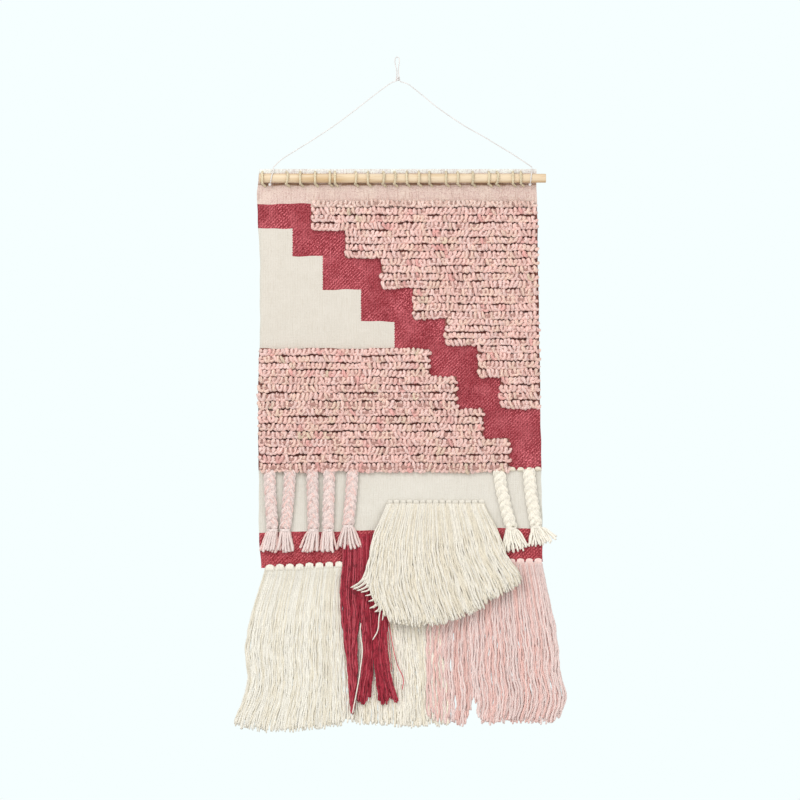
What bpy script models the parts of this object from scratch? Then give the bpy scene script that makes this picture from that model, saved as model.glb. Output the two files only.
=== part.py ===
"""Tapestry wall hanging: a flat-woven cloth with stepped fields of looped pile, lashed to a
wooden dowel that hangs from a nail by a twine, with plaits, tassels and layered fringes.

Metres, +Z up, the front faces -Y. The origin is the inner top of the twine's loop, where the
nail carries the piece, and the cloth's middle plane is y = 0. Outlines are (x, z) points.
"""

import math

import bmesh
import bpy
from mathutils import Matrix, Vector

GAP = 0.0003  # left between solids that touch

# Cloth
CLOTH_THICKNESS = 0.003
CLOTH_TOP = -0.2007
CLOTH_BOTTOM = (-0.912, -0.903)  # at the left edge and at the right edge
CLOTH_LEFT = (-0.2485, -0.2435)  # x at the top and at the bottom
CLOTH_RIGHT = (0.2510, 0.2625)
CLOTH_FRONT = -CLOTH_THICKNESS / 2

# Woven areas, by the height of the lines between them
HEADER_BOTTOM = -0.2635
PILE_TOP = -0.2702
CREAM_STAIR_TOP = -0.3074
LOWER_PILE_TOP = -0.5238
CREAM_PANEL_TOP = -0.7441
CREAM_PANEL_BOTTOM = (-0.855, -0.8465)

# Stairs: each step is (x of its riser, z where it ends), from the top down
UPPER_PILE_STEPS = (
    (-0.1548, -0.3105),
    (-0.0936, -0.3614),
    (-0.0288, -0.4153),
    (0.0281, -0.4709),
    (0.0864, -0.5180),
    (0.1453, -0.5742),
    (0.1859, -0.6309),
)
CREAM_STEPS = (
    (-0.1881, -0.3573),
    (-0.1337, -0.4183),
    (-0.0648, -0.4754),
    (-0.0045, LOWER_PILE_TOP),
)
LOWER_PILE_STEPS = (
    (0.0590, -0.5742),
    (0.1073, -0.6323),
    (0.1555, -0.6858),
    (0.2027, CREAM_PANEL_TOP),
)

# Pile
ROW_PITCH = 0.0132
PILE_BACK = CLOTH_FRONT - GAP
PILE_VALLEY = -0.0085
PILE_CREST = -0.0120

# Dowel and the string that lashes the cloth to it
ROD_RADIUS = 0.008
ROD_ENDS = (-0.2475, 0.2678)
ROD_Y = -0.0098
ROD_Z = -0.2178
ROD_EDGE = 0.0008
STRING_RADIUS = 0.002
HOLE_RADIUS = 0.0034
HOLE_Z = -0.2318
HOLE_STEP = 0.003  # how far right of its turn the string enters the cloth
LASHING_TURNS = (
    -0.2421, -0.1987, -0.1739, -0.1471, -0.1210, -0.1115, -0.0747, -0.0522, -0.0252, -0.0045,
    0.0180, 0.0389, 0.0583, 0.0882, 0.1091, 0.1359, 0.1649, 0.1795, 0.2083, 0.2228,
)

# Hanging twine
TWINE_RADIUS = 0.0011
TWINE_SPACING = 0.008
KNOT_CENTRE = (0.0014, -0.0012, -0.0387)
KNOT_SIZE = (0.0036, 0.0034, 0.0040)
LOOP_ROUTE = (
    (0.0004, 0.0, TWINE_RADIUS),
    (0.0032, 0.0, -0.0012),
    (0.0042, -0.0001, -0.0070),
    (0.0030, -0.0006, -0.0150),
    (0.0024, -0.0010, -0.0235),
    (0.0029, -0.0012, -0.0306),
    (0.0014, -0.0012, -0.0331),
    (-0.0002, -0.0012, -0.0306),
    (-0.0006, -0.0008, -0.0235),
    (-0.0024, -0.0004, -0.0150),
    (-0.0038, 0.0, -0.0070),
    (-0.0026, 0.0, -0.0012),
)
LEFT_ROUTE = (
    (-0.0030, -0.0014, -0.0425),
    (-0.0099, -0.0015, -0.0455),
    (-0.0162, -0.0016, -0.0495),
    (-0.0390, -0.0018, -0.0663),
    (-0.0625, -0.0020, -0.0848),
    (-0.0870, -0.0022, -0.1036),
    (-0.1120, -0.0025, -0.1220),
    (-0.1470, -0.0028, -0.1454),
    (-0.1822, -0.0031, -0.1674),
    (-0.2070, -0.0034, -0.1833),
    (-0.2218, -0.0036, -0.1968),
)
RIGHT_ROUTE = (
    (0.0058, -0.0014, -0.0430),
    (0.0125, -0.0015, -0.0452),
    (0.0189, -0.0015, -0.0477),
    (0.0245, -0.0016, -0.0512),
    (0.0490, -0.0018, -0.0707),
    (0.0738, -0.0020, -0.0909),
    (0.1195, -0.0025, -0.1220),
    (0.1566, -0.0028, -0.1430),
    (0.1840, -0.0031, -0.1597),
    (0.2104, -0.0034, -0.1757),
    (0.2420, -0.0036, -0.1968),
)
TIES = {"tie_left": (-0.2222, -0.2285), "tie_right": (0.2424, 0.2392)}  # x at top, at knot

# Plaits: centre line x at the top and at the end, z of the end, tassel's x range, its lowest z
BRAIDS = {
    "pink_braid_1": (-0.2293, -0.2240, -0.8470, (-0.2460, -0.2186), -0.8910),
    "pink_braid_2": (-0.1926, -0.2010, -0.8470, (-0.2170, -0.1850), -0.8910),
    "pink_braid_3": (-0.1523, -0.1500, -0.8470, (-0.1740, -0.1416), -0.8910),
    "pink_braid_4": (-0.1219, -0.1244, -0.8470, (-0.1400, -0.1100), -0.8900),
    "pink_braid_5": (-0.0803, -0.0878, -0.8400, (-0.1070, -0.0640), -0.8850),
    "cream_braid_1": (0.1840, 0.2052, -0.8440, (0.1890, 0.2350), -0.8900),
    "cream_braid_2": (0.2376, 0.2502, -0.8410, (0.2466, 0.2880), -0.8860),
}
BRAID_TOP = -0.7453
BRAID_Y = -0.0076
PLAIT_WIDTH = 0.020
PLAIT_THICKNESS = 0.009
PLAIT_LOBE = 0.0125
BINDING_HEIGHT = 0.007
BINDING_WIDTH = 0.019
TASSEL_THICKNESS = 0.0098
BRAID_AXIS_DROP = 0.005

# Fringes
KNOT_BAR_RADIUS = 0.0045
KNOT_PITCH = 0.0165
SKIRT_Y = (-0.0015, 0.0055)
CRIMSON_Y = (-0.0098, -0.0018)
FAN_THICKNESS = 0.008
FAN_LEAN = math.radians(4.8)
FAN_AXIS = (-0.0070, -0.8135)  # y, z
FAN_TOP_RISE = 0.003  # from the hinge axis up to the fringe's top edge
FAN_KNOT_Z = -0.8046
FAN_KNOT_RADIUS = 0.0033
FAN_KNOT_PITCH = 0.0117
FAN_KNOTS_X = (-0.016, 0.153)

# Joint axes that carry fringes: (y, z)
LEFT_FRINGE_AXIS = (0.0045, -0.9275)
LOWER_FRINGE_AXIS = (0.0045, -0.9215)
CRIMSON_AXIS = (-0.0019, -0.8950)
PANEL_AXIS = (-0.00365, -0.1979)  # between the twine's legs and its ties


def clear_scene():
    for old in list(bpy.data.objects):
        bpy.data.objects.remove(old, do_unlink=True)


def new_collection(name):
    collection = bpy.data.collections.new(name)
    bpy.context.scene.collection.children.link(collection)
    return collection


def principled(name, colour, roughness):
    material = bpy.data.materials.new(name)
    material.use_nodes = True
    shader = material.node_tree.nodes["Principled BSDF"]
    shader.inputs["Base Color"].default_value = (*colour, 1.0)
    shader.inputs["Roughness"].default_value = roughness
    shader.inputs["Metallic"].default_value = 0.0
    return material


clear_scene()
HANGING = new_collection("tapestry_wall_hanging")

CREAM_WEAVE = principled("cream_weave", (0.80, 0.75, 0.64), 0.95)
CREAM_YARN = principled("cream_yarn", (0.82, 0.77, 0.66), 0.95)
CRIMSON_WEAVE = principled("crimson_weave", (0.42, 0.09, 0.11), 0.95)
CRIMSON_YARN = principled("crimson_yarn", (0.35, 0.05, 0.07), 0.95)
PINK_WEAVE = principled("pink_weave", (0.73, 0.55, 0.45), 0.95)
PINK_YARN = principled("pink_yarn", (0.75, 0.52, 0.47), 0.95)
STRING = principled("string", (0.62, 0.54, 0.42), 0.90)
TWINE = principled("twine", (0.72, 0.68, 0.62), 0.90)
PALE_WOOD = principled("pale_wood", (0.84, 0.70, 0.50), 0.55)


def add(name, data, material):
    piece = bpy.data.objects.new(name, data)
    piece.data.materials.append(material)
    HANGING.objects.link(piece)
    return piece


def joint_empty(name, y, z):
    """An empty on a joint's axis, which runs along X."""
    empty = bpy.data.objects.new(name, None)
    empty.empty_display_size = 0.02
    empty.location = (0.0, y, z)
    HANGING.objects.link(empty)
    return empty


def attach(piece, empty):
    """Parents a piece to a joint's empty and leaves it where it is."""
    piece.parent = empty
    piece.matrix_parent_inverse = Matrix.Translation(empty.location).inverted()
    return piece


def between(pair, share):
    return pair[0] + (pair[1] - pair[0]) * share


def cloth_left(z):
    return between(CLOTH_LEFT, (z - CLOTH_TOP) / (CLOTH_BOTTOM[0] - CLOTH_TOP))


def cloth_right(z):
    return between(CLOTH_RIGHT, (z - CLOTH_TOP) / (CLOTH_BOTTOM[1] - CLOTH_TOP))


def inset(outline, distance):
    """The outline moved inwards by a distance. Its points run clockwise, seen from the front."""
    moved = []
    count = len(outline)
    for i in range(count):
        before, here, after = (Vector(outline[(i + k) % count]) for k in (-1, 0, 1))
        edge_in = (here - before).normalized()
        edge_out = (after - here).normalized()
        normal_in = Vector((edge_in.y, -edge_in.x))
        normal_out = Vector((edge_out.y, -edge_out.x))
        middle = (normal_in + normal_out).normalized()
        moved.append(here + middle * (distance / middle.dot(normal_in)))
    return moved


def flat_curve(name, outline, half_depth, holes=()):
    curve = bpy.data.curves.new(name, "CURVE")
    curve.dimensions = "2D"
    curve.fill_mode = "BOTH"
    curve.extrude = half_depth
    curve.render_resolution_u = 0
    for ring in (outline, *holes):
        spline = curve.splines.new("POLY")
        spline.points.add(len(ring) - 1)
        for point, (across, up) in zip(spline.points, ring):
            point.co = (across, up, 0.0, 1.0)
        spline.use_cyclic_u = True
    return curve


def plate(name, outline, front_back, material, holes=()):
    """A flat piece between two y values, from its outline in x and z."""
    front, back = front_back
    piece = add(name, flat_curve(name, outline, (back - front) / 2, holes), material)
    piece.rotation_euler = (math.pi / 2, 0.0, 0.0)
    piece.location = (0.0, (front + back) / 2, 0.0)
    return piece


def tube(name, points, radius, material, radii=None, closed=False, resolution=2):
    """A round tube along points, with each point's radius as a share of the tube's."""
    curve = bpy.data.curves.new(name, "CURVE")
    curve.dimensions = "3D"
    curve.bevel_depth = radius
    curve.bevel_resolution = resolution
    curve.render_resolution_u = 0
    curve.use_fill_caps = not closed
    spline = curve.splines.new("POLY")
    spline.points.add(len(points) - 1)
    for i, point in enumerate(points):
        spline.points[i].co = (*point, 1.0)
        spline.points[i].radius = radii[i] if radii else 1.0
    spline.use_cyclic_u = closed
    return add(name, curve, material)


def smooth_route(route, spacing):
    """Points about a spacing apart on a Catmull-Rom curve through the route's own points."""
    knots = [Vector(p) for p in route]
    knots = [2 * knots[0] - knots[1], *knots, 2 * knots[-1] - knots[-2]]
    points = []
    for a, b, c, d in zip(knots, knots[1:], knots[2:], knots[3:]):
        steps = max(1, round((c - b).length / spacing))
        for k in range(steps):
            t = k / steps
            cubic = (3 * b - a - 3 * c + d) * t**3 + (2 * a - 5 * b + 4 * c - d) * t**2
            points.append((cubic + (c - a) * t + 2 * b) / 2)
    return [*points, knots[-2]]


def solid_from_bmesh(name, build, material):
    """An object whose mesh a function fills."""
    mesh = bpy.data.meshes.new(name)
    bm = bmesh.new()
    build(bm)
    bm.to_mesh(mesh)
    bm.free()
    mesh.shade_smooth()
    mesh.set_sharp_from_angle(angle=math.radians(50))
    return add(name, mesh, material)


def make_hanger():
    """The loop on the nail, its knot and the two legs down to the dowel."""
    tube("hang_loop", LOOP_ROUTE, TWINE_RADIUS, TWINE, closed=True)

    def knot(bm):
        squash = Matrix.Translation(KNOT_CENTRE) @ Matrix.Diagonal((*KNOT_SIZE, 1.0))
        bmesh.ops.create_uvsphere(bm, u_segments=12, v_segments=8, radius=1.0, matrix=squash)

    solid_from_bmesh("hang_knot", knot, TWINE)
    tube("hang_cord_left", smooth_route(LEFT_ROUTE, TWINE_SPACING), TWINE_RADIUS, TWINE)
    tube("hang_cord_right", smooth_route(RIGHT_ROUTE, TWINE_SPACING), TWINE_RADIUS, TWINE)


def round_rod(angle, reach):
    """The (y, z) of a point round the dowel: 0 degrees faces the cloth and 180 the front."""
    turn = math.radians(angle)
    return ROD_Y + reach * math.cos(turn), ROD_Z + reach * math.sin(turn)


def make_ties():
    """Each end of the twine goes down over the dowel's front and ends in a knot under it."""
    reach = ROD_RADIUS + GAP + TWINE_RADIUS
    for name, (top_x, knot_x) in TIES.items():
        route = [(top_x, -0.0037, -0.1990), (top_x, -0.0050, -0.2030)]
        for angle in range(75, 271, 15):
            x = between((top_x, knot_x), (angle - 75) / 195)
            route.append((x, *round_rod(angle, reach)))
        route += [(knot_x, -0.0074, -0.2285), (knot_x, -0.0060, -0.2292)]
        radii = [1.0] * (len(route) - 4) + [1.3, 1.9, 2.2, 1.3]
        clear_of_rod = [(x, y, z - 0.0014 * (radius - 1)) for (x, y, z), radius in zip(route, radii)]
        attach(tube(name, clear_of_rod, TWINE_RADIUS, TWINE, radii), PANEL)


def make_rod():
    def build(bm):
        length = ROD_ENDS[1] - ROD_ENDS[0]
        lie = Matrix.Translation(((ROD_ENDS[0] + ROD_ENDS[1]) / 2, ROD_Y, ROD_Z))
        lie = lie @ Matrix.Rotation(math.pi / 2, 4, "Y")
        bmesh.ops.create_cone(
            bm, cap_ends=True, segments=32, radius1=ROD_RADIUS, radius2=ROD_RADIUS,
            depth=length, matrix=lie,
        )

    rod = solid_from_bmesh("rod", build, PALE_WOOD)
    edge = rod.modifiers.new("eased_ends", "BEVEL")
    edge.width = ROD_EDGE
    edge.segments = 1
    edge.limit_method = "ANGLE"
    edge.angle_limit = math.radians(60)
    attach(rod, ROD_JOINT)


def make_lashing():
    """One string: down over the dowel, through the cloth under it, up the back, over the top."""
    reach = ROD_RADIUS + GAP + STRING_RADIUS
    edge_reach = CLOTH_THICKNESS / 2 + GAP + STRING_RADIUS
    route = []
    for turn, x in enumerate(LASHING_TURNS):
        for angle in (30, 90, 150, 180):
            bend = math.radians(angle)
            y, z = edge_reach * math.cos(bend), CLOTH_TOP + edge_reach * math.sin(bend)
            route.append((x, y, z))
        for angle in (62, 90, 120, 150, 180, 210, 240, 270):
            route.append((x, *round_rod(angle, reach)))
        enter = x + HOLE_STEP
        route.append((enter, -0.0048, -0.2304))
        route.append((enter, 0.0, HOLE_Z))
        if turn < len(LASHING_TURNS) - 1:
            route.append((enter + 0.0003, 0.0036, -0.2308))
            route.append((enter + 0.0020, edge_reach + GAP, -0.2270))
            route.append((LASHING_TURNS[turn + 1] - 0.0010, edge_reach + GAP, -0.2040))
    attach(tube("lashing", route, STRING_RADIUS, STRING, resolution=1), PANEL)


def circle(x, z, radius, sides=8):
    turns = (2 * math.pi * k / sides for k in range(sides))
    return [(x + radius * math.cos(a), z + radius * math.sin(a)) for a in turns]


def stair(steps, start):
    """The corners of a stair's risers and treads, from the top down."""
    corners = []
    z = start
    for x, end in steps:
        corners += [(x, z), (x, end)]
        z = end
    return corners


def area(name, outline, material, holes=()):
    """One woven area of the cloth, half a gap inside its lines. Its outline runs clockwise."""
    piece = plate(
        name, inset(outline, GAP / 2), (CLOTH_FRONT, -CLOTH_FRONT), material, holes
    )
    return attach(piece, PANEL)


def make_cloth():
    right_end = UPPER_PILE_STEPS[-1][1]
    crimson_end = CREAM_PANEL_TOP
    first_riser = UPPER_PILE_STEPS[0][0]
    upper_edge = stair(UPPER_PILE_STEPS, PILE_TOP)
    cream_edge = stair(CREAM_STEPS, CREAM_STAIR_TOP)
    lower_edge = stair(LOWER_PILE_STEPS, LOWER_PILE_TOP)

    holes = [circle(x + HOLE_STEP, HOLE_Z, HOLE_RADIUS) for x in LASHING_TURNS]
    header = [
        (cloth_left(CLOTH_TOP), CLOTH_TOP),
        (cloth_right(CLOTH_TOP), CLOTH_TOP),
        (cloth_right(PILE_TOP), PILE_TOP),
        (first_riser, PILE_TOP),
        (first_riser, HEADER_BOTTOM),
        (cloth_left(HEADER_BOTTOM), HEADER_BOTTOM),
    ]
    area("header_band", header, PINK_WEAVE, holes)

    crimson = [(cloth_left(HEADER_BOTTOM), HEADER_BOTTOM), (first_riser, HEADER_BOTTOM)]
    crimson += upper_edge[1:]
    crimson += [(cloth_right(right_end), right_end), (cloth_right(crimson_end), crimson_end)]
    crimson += lower_edge[::-1]
    crimson += cream_edge[::-1]
    crimson += [(cloth_left(CREAM_STAIR_TOP), CREAM_STAIR_TOP)]
    area("crimson_stair", crimson, CRIMSON_WEAVE)

    cream = [(cloth_left(CREAM_STAIR_TOP), CREAM_STAIR_TOP), *cream_edge]
    cream += [(cloth_left(LOWER_PILE_TOP), LOWER_PILE_TOP)]
    area("cream_stair", cream, CREAM_WEAVE)

    upper = [(cloth_right(PILE_TOP), PILE_TOP), (cloth_right(right_end), right_end)]
    area("upper_pile_ground", upper + upper_edge[::-1], CRIMSON_WEAVE)

    lower = [(cloth_left(LOWER_PILE_TOP), LOWER_PILE_TOP), *lower_edge]
    lower += [(cloth_left(CREAM_PANEL_TOP), CREAM_PANEL_TOP)]
    area("lower_pile_ground", lower, CRIMSON_WEAVE)

    panel_left, panel_right = CREAM_PANEL_BOTTOM
    cream_panel = [
        (cloth_left(CREAM_PANEL_TOP), CREAM_PANEL_TOP),
        (cloth_right(CREAM_PANEL_TOP), CREAM_PANEL_TOP),
        (cloth_right(panel_right), panel_right),
        (cloth_left(panel_left), panel_left),
    ]
    area("cream_panel", cream_panel, CREAM_WEAVE)

    bottom_left, bottom_right = CLOTH_BOTTOM
    band = [
        (cloth_left(panel_left), panel_left),
        (cloth_right(panel_right), panel_right),
        (cloth_right(bottom_right), bottom_right),
        (cloth_left(bottom_left), bottom_left),
    ]
    area("crimson_band", band, CRIMSON_WEAVE)


def pile_block(name, left, right, top, bottom):
    """A field of looped pile: a ridge for each row, drawn as a (y, z) profile along X."""
    rows = round((top - bottom) / ROW_PITCH)
    pitch = (top - bottom - GAP) / rows
    profile = [(PILE_BACK, bottom + GAP / 2), (PILE_BACK, top - GAP / 2)]
    for row in range(rows):
        row_top = top - GAP / 2 - row * pitch
        profile.append((PILE_VALLEY, row_top))
        profile.append((PILE_CREST, row_top - 0.3 * pitch))
        profile.append((PILE_CREST, row_top - 0.7 * pitch))
    profile.append((PILE_VALLEY, bottom + GAP / 2))
    half_length = (right - left - GAP) / 2
    piece = add(name, flat_curve(name, profile, half_length), PINK_YARN)
    piece.rotation_euler = (math.pi / 2, 0.0, math.pi / 2)
    piece.location = ((left + right) / 2, 0.0, 0.0)
    attach(piece, PANEL)


def make_pile():
    top = PILE_TOP
    for number, (riser, end) in enumerate(UPPER_PILE_STEPS, 1):
        pile_block(f"upper_pile_{number}", riser, cloth_right(top), top, end)
        top = end
    top = LOWER_PILE_TOP
    for number, (riser, end) in enumerate(LOWER_PILE_STEPS, 1):
        pile_block(f"lower_pile_{number}", cloth_left(end), riser, top, end)
        top = end


def make_braid(name, top_x, end_x, end_z, tassel_x, tassel_end):
    """A flat plait, the yarn bound round its end, and the tassel below that."""
    yarn = PINK_YARN if name.startswith("pink") else CREAM_YARN
    joint = joint_empty(f"{name}_axis", BRAID_Y, BRAID_TOP - BRAID_AXIS_DROP)
    flatten = PLAIT_THICKNESS / PLAIT_WIDTH

    points, radii = [], []
    steps = round((BRAID_TOP - end_z) / (PLAIT_LOBE / 2))
    for k in range(steps + 1):
        drift = min(max(k - 1, 0) / (steps - 2), 1.0)  # both ends hang straight down
        x = between((top_x, end_x), drift**1.4)
        points.append((x, 0.0, between((BRAID_TOP, end_z), k / steps)))
        radii.append(0.5 if k == 0 else 1.0 - 0.12 * (k % 2))
    plait = tube(f"{name}_plait", points, PLAIT_WIDTH / 2, yarn, radii)
    plait.location = (0.0, BRAID_Y, 0.0)
    plait.scale = (1.0, flatten, 1.0)
    attach(plait, joint)

    def binding(bm):
        top = end_z - GAP
        bmesh.ops.create_cone(
            bm, cap_ends=True, segments=16, radius1=1.0, radius2=1.0, depth=BINDING_HEIGHT - GAP,
            matrix=Matrix.Translation((end_x, BRAID_Y, top - (BINDING_HEIGHT - GAP) / 2))
            @ Matrix.Diagonal((BINDING_WIDTH / 2, TASSEL_THICKNESS / 2, 1.0, 1.0)),
        )

    attach(solid_from_bmesh(f"{name}_binding", binding, yarn), joint)

    def tassel(bm):
        top = end_z - BINDING_HEIGHT - GAP
        bmesh.ops.create_cone(
            bm, cap_ends=True, segments=16, radius1=1.0, radius2=1.0, depth=top - tassel_end,
            matrix=Matrix.Translation((0.0, 0.0, (top + tassel_end) / 2)),
        )
        low_centre = (tassel_x[0] + tassel_x[1]) / 2
        low_half = (tassel_x[1] - tassel_x[0]) / 2
        for vertex in bm.verts:
            drop = (top - vertex.co.z) / (top - tassel_end)
            half = between((BINDING_WIDTH / 2, low_half), drop)
            vertex.co.x = between((end_x, low_centre), drop) + half * vertex.co.x
            vertex.co.y = BRAID_Y + TASSEL_THICKNESS / 2 * vertex.co.y

    attach(solid_from_bmesh(f"{name}_tassel", tassel, yarn), joint)


def knot_bar(name, left, right, z, material, radius=KNOT_BAR_RADIUS, pitch=KNOT_PITCH):
    """A row of knots side by side along a cloth's line, as one beaded bar."""
    knots = round((right - left) / pitch)
    points, radii = [], []
    for k in range(2 * knots + 1):
        points.append((between((left, right), k / (2 * knots)), CLOTH_FRONT - GAP - radius, z))
        radii.append(1.0 if k % 2 else 0.6)
    attach(tube(name, points, radius, material, radii), PANEL)


def make_knots():
    knot_bar("left_knots", -0.2375, -0.1045, -0.9165, CREAM_YARN)
    knot_bar("centre_knots", -0.0050, 0.0690, -0.9125, CREAM_YARN)
    knot_bar("pink_knots", 0.0710, 0.2610, -0.9100, PINK_YARN)
    knot_bar("cream_braid_knots", 0.2045, 0.2560, -0.7395, CREAM_YARN)
    knot_bar("fan_knots", *FAN_KNOTS_X, FAN_KNOT_Z, CREAM_YARN, FAN_KNOT_RADIUS, FAN_KNOT_PITCH)


LEFT_FRINGE_OUTLINE = (
    (-0.2385, -0.9235), (-0.1050, -0.9235), (-0.1050, -1.1960), (-0.1500, -1.2100),
    (-0.2000, -1.2160), (-0.2500, -1.2160), (-0.2850, -1.2100), (-0.2980, -1.1860),
    (-0.2850, -1.1450), (-0.2790, -1.1000), (-0.2735, -1.0500), (-0.2640, -1.0000),
    (-0.2500, -0.9400),
)
CENTRE_FRINGE_OUTLINE = (
    (-0.1000, -0.9190), (0.0650, -0.9190), (0.0650, -1.1950), (0.0450, -1.2000),
    (0.0000, -1.2000), (-0.0600, -1.1950), (-0.1000, -1.1700),
)
PINK_FRINGE_OUTLINE = (
    (0.0665, -0.9170), (0.2640, -0.9170), (0.2680, -0.9400), (0.2760, -0.9900),
    (0.2900, -1.0600), (0.2970, -1.1100), (0.3060, -1.1580), (0.2930, -1.1900),
    (0.2500, -1.2000), (0.2000, -1.1980), (0.1420, -1.2010), (0.1360, -1.1550),
    (0.1280, -1.2030), (0.0800, -1.2050), (0.0665, -1.1950),
)
CRIMSON_LEG_OUTLINES = {
    "crimson_fringe_left": (
        (-0.0965, -0.8950), (-0.0690, -0.8950), (-0.0690, -1.0600), (-0.0710, -1.1200),
        (-0.0760, -1.1800), (-0.0860, -1.1800), (-0.0920, -1.1000), (-0.0990, -1.0300),
        (-0.1030, -0.9650),
    ),
    "crimson_fringe_middle": (
        (-0.0675, -0.8950), (-0.0430, -0.8950), (-0.0430, -1.0200), (-0.0450, -1.1000),
        (-0.0500, -1.1630), (-0.0600, -1.1630), (-0.0620, -1.0650), (-0.0675, -1.0400),
    ),
    "crimson_fringe_right": (
        (-0.0415, -0.8950), (-0.0080, -0.8950), (-0.0080, -1.0000), (-0.0020, -1.0800),
        (0.0060, -1.1550), (-0.0340, -1.1600), (-0.0330, -1.0300), (-0.0415, -1.0000),
    ),
}
FAN_OUTLINE = (
    (-0.0180, 0.0), (0.1530, 0.0), (0.1780, -0.0370), (0.1860, -0.0570), (0.1870, -0.0840),
    (0.2060, -0.1000), (0.2240, -0.1260), (0.1940, -0.1410), (0.1570, -0.1680),
    (0.0950, -0.1930), (0.0490, -0.2040), (-0.0130, -0.1990), (-0.0230, -0.1980),
    (-0.0350, -0.1770), (-0.0500, -0.1660), (-0.0610, -0.1440), (-0.0580, -0.1190),
    (-0.0500, -0.0680), (-0.0410, -0.0380),
)  # z is below the fringe's top edge


def make_fringes():
    left = joint_empty("left_fringe_axis", *LEFT_FRINGE_AXIS)
    attach(plate("left_fringe", LEFT_FRINGE_OUTLINE, SKIRT_Y, CREAM_YARN), left)

    lower = joint_empty("lower_fringe_axis", *LOWER_FRINGE_AXIS)
    attach(plate("centre_fringe", CENTRE_FRINGE_OUTLINE, SKIRT_Y, CREAM_YARN), lower)
    attach(plate("pink_fringe", PINK_FRINGE_OUTLINE, SKIRT_Y, PINK_YARN), lower)

    crimson = joint_empty("crimson_fringe_axis", *CRIMSON_AXIS)
    for name, outline in CRIMSON_LEG_OUTLINES.items():
        attach(plate(name, outline, CRIMSON_Y, CRIMSON_YARN), crimson)

    fan_joint = joint_empty("fan_axis", *FAN_AXIS)
    outline = [(x, z + FAN_TOP_RISE) for x, z in FAN_OUTLINE]
    half = FAN_THICKNESS / 2
    fan = plate("fan_fringe", outline, (-half, half), CREAM_YARN)
    fan.rotation_euler = (math.pi / 2 - FAN_LEAN, 0.0, 0.0)
    fan.location = (0.0, *FAN_AXIS)
    attach(fan, fan_joint)


PANEL = joint_empty("panel_axis", *PANEL_AXIS)
ROD_JOINT = joint_empty("rod_axis", ROD_Y, ROD_Z)

make_hanger()
make_ties()
make_rod()
make_lashing()
make_cloth()
make_pile()
for braid_name, braid_sizes in BRAIDS.items():
    make_braid(braid_name, *braid_sizes)
make_knots()
make_fringes()
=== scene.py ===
"""The looks of the tapestry wall hanging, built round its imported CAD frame.

Metres, +Z up, the front faces -Y. The origin is the nail inside the twine's loop, and the
cloth's middle plane is y = 0. Routes and outlines repeat the design's own sizes.
"""

import math

import bpy
import numpy as np
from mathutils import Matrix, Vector


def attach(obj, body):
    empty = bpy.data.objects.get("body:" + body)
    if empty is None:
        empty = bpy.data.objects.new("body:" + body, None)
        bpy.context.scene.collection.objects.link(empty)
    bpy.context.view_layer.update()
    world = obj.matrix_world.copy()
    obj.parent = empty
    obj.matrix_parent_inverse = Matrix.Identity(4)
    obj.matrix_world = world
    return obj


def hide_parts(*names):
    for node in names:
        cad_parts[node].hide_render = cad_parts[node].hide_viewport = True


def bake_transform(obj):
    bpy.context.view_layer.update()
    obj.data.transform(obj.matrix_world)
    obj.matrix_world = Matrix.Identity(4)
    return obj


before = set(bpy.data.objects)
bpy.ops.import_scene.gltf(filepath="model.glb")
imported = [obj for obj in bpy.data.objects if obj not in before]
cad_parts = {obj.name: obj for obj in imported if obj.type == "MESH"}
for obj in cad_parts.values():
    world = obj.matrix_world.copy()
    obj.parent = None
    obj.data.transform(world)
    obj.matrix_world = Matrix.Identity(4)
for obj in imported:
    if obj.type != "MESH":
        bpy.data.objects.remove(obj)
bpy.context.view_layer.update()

# -------- sizes of the design

CLOTH_THICKNESS = 0.003
CLOTH_FRONT = -CLOTH_THICKNESS / 2
CLOTH_TOP = -0.2007
CLOTH_BOTTOM = (-0.919, -0.9075)  # at the left edge and at the right edge
CLOTH_LEFT = (  # (z, x) down the left edge, from the bottom
    (-0.919, -0.2445), (-0.87, -0.2482), (-0.61, -0.25), (-0.47, -0.2464), (-0.36, -0.247),
    (-0.2421, -0.2526), (CLOTH_TOP, -0.2475),
)
CLOTH_RIGHT = (0.251, 0.2625)  # x at the top and at the bottom
HEADER_BOTTOM = -0.2635
PILE_TOP = -0.2702
CREAM_STAIR_TOP = -0.3074
LOWER_PILE_TOP = -0.5238
CREAM_PANEL_TOP = -0.7441
CREAM_PANEL_BOTTOM = (-0.855, -0.8465)
UPPER_PILE_STEPS = (
    (-0.1548, -0.3105), (-0.0936, -0.3614), (-0.0288, -0.4153), (0.0281, -0.4709), (0.0864, -0.518),
    (0.1453, -0.5742), (0.1859, -0.6309),
)
CREAM_STEPS = (
    (-0.1881, -0.3573), (-0.1337, -0.4183), (-0.0648, -0.4754), (-0.0045, LOWER_PILE_TOP),
)
LOWER_PILE_STEPS = (
    (0.059, -0.5742), (0.1073, -0.6323), (0.1555, -0.6858), (0.2027, CREAM_PANEL_TOP),
)
ROW_PITCH = 0.0132
WEFT_PITCH = 0.0021

ROD_RADIUS = 0.008
ROD_Y = -0.0098
ROD_Z = -0.2178
STRING_RADIUS = 0.002
HOLE_Z = -0.2326
HOLE_STEP = 0.0048
STRING_DROP = 0.0045  # from the cloth's top edge to where the string goes through above the dowel
GAP = 0.0003
LASHING_TURNS = (
    -0.2421, -0.1987, -0.1739, -0.1471, -0.121, -0.1115, -0.0747, -0.0522, -0.0252, -0.0045,
    0.018, 0.0389, 0.0583, 0.0882, 0.1091, 0.1359, 0.1649, 0.1795, 0.2083, 0.2228,
)

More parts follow.
